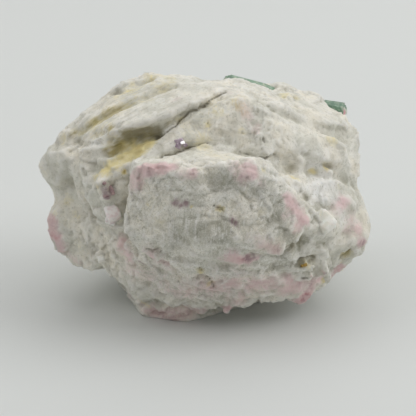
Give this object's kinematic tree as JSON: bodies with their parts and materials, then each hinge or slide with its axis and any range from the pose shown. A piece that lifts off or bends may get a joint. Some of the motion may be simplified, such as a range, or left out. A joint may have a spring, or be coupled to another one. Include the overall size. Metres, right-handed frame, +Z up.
{
  "type": "watermelon tourmaline specimen",
  "caption": "Rough hand-sized lump of pale feldspar with pink and green tourmaline grown in it, broken on every side and flat underneath.",
  "frame": {"origin": "on the ground, under the middle of the stone's box", "axes": "+X along the stone's length, to the right as it is shown; +Y away from the viewer; +Z up"},
  "size_m": [0.0804, 0.0596, 0.0541],
  "materials": {
    "stone": "broken milky feldspar, dull with sparkling cleavage, stained pink, ochre and green"
  },
  "bodies": {
    "root": {"stone": "stone"}
  },
  "joints": []
}
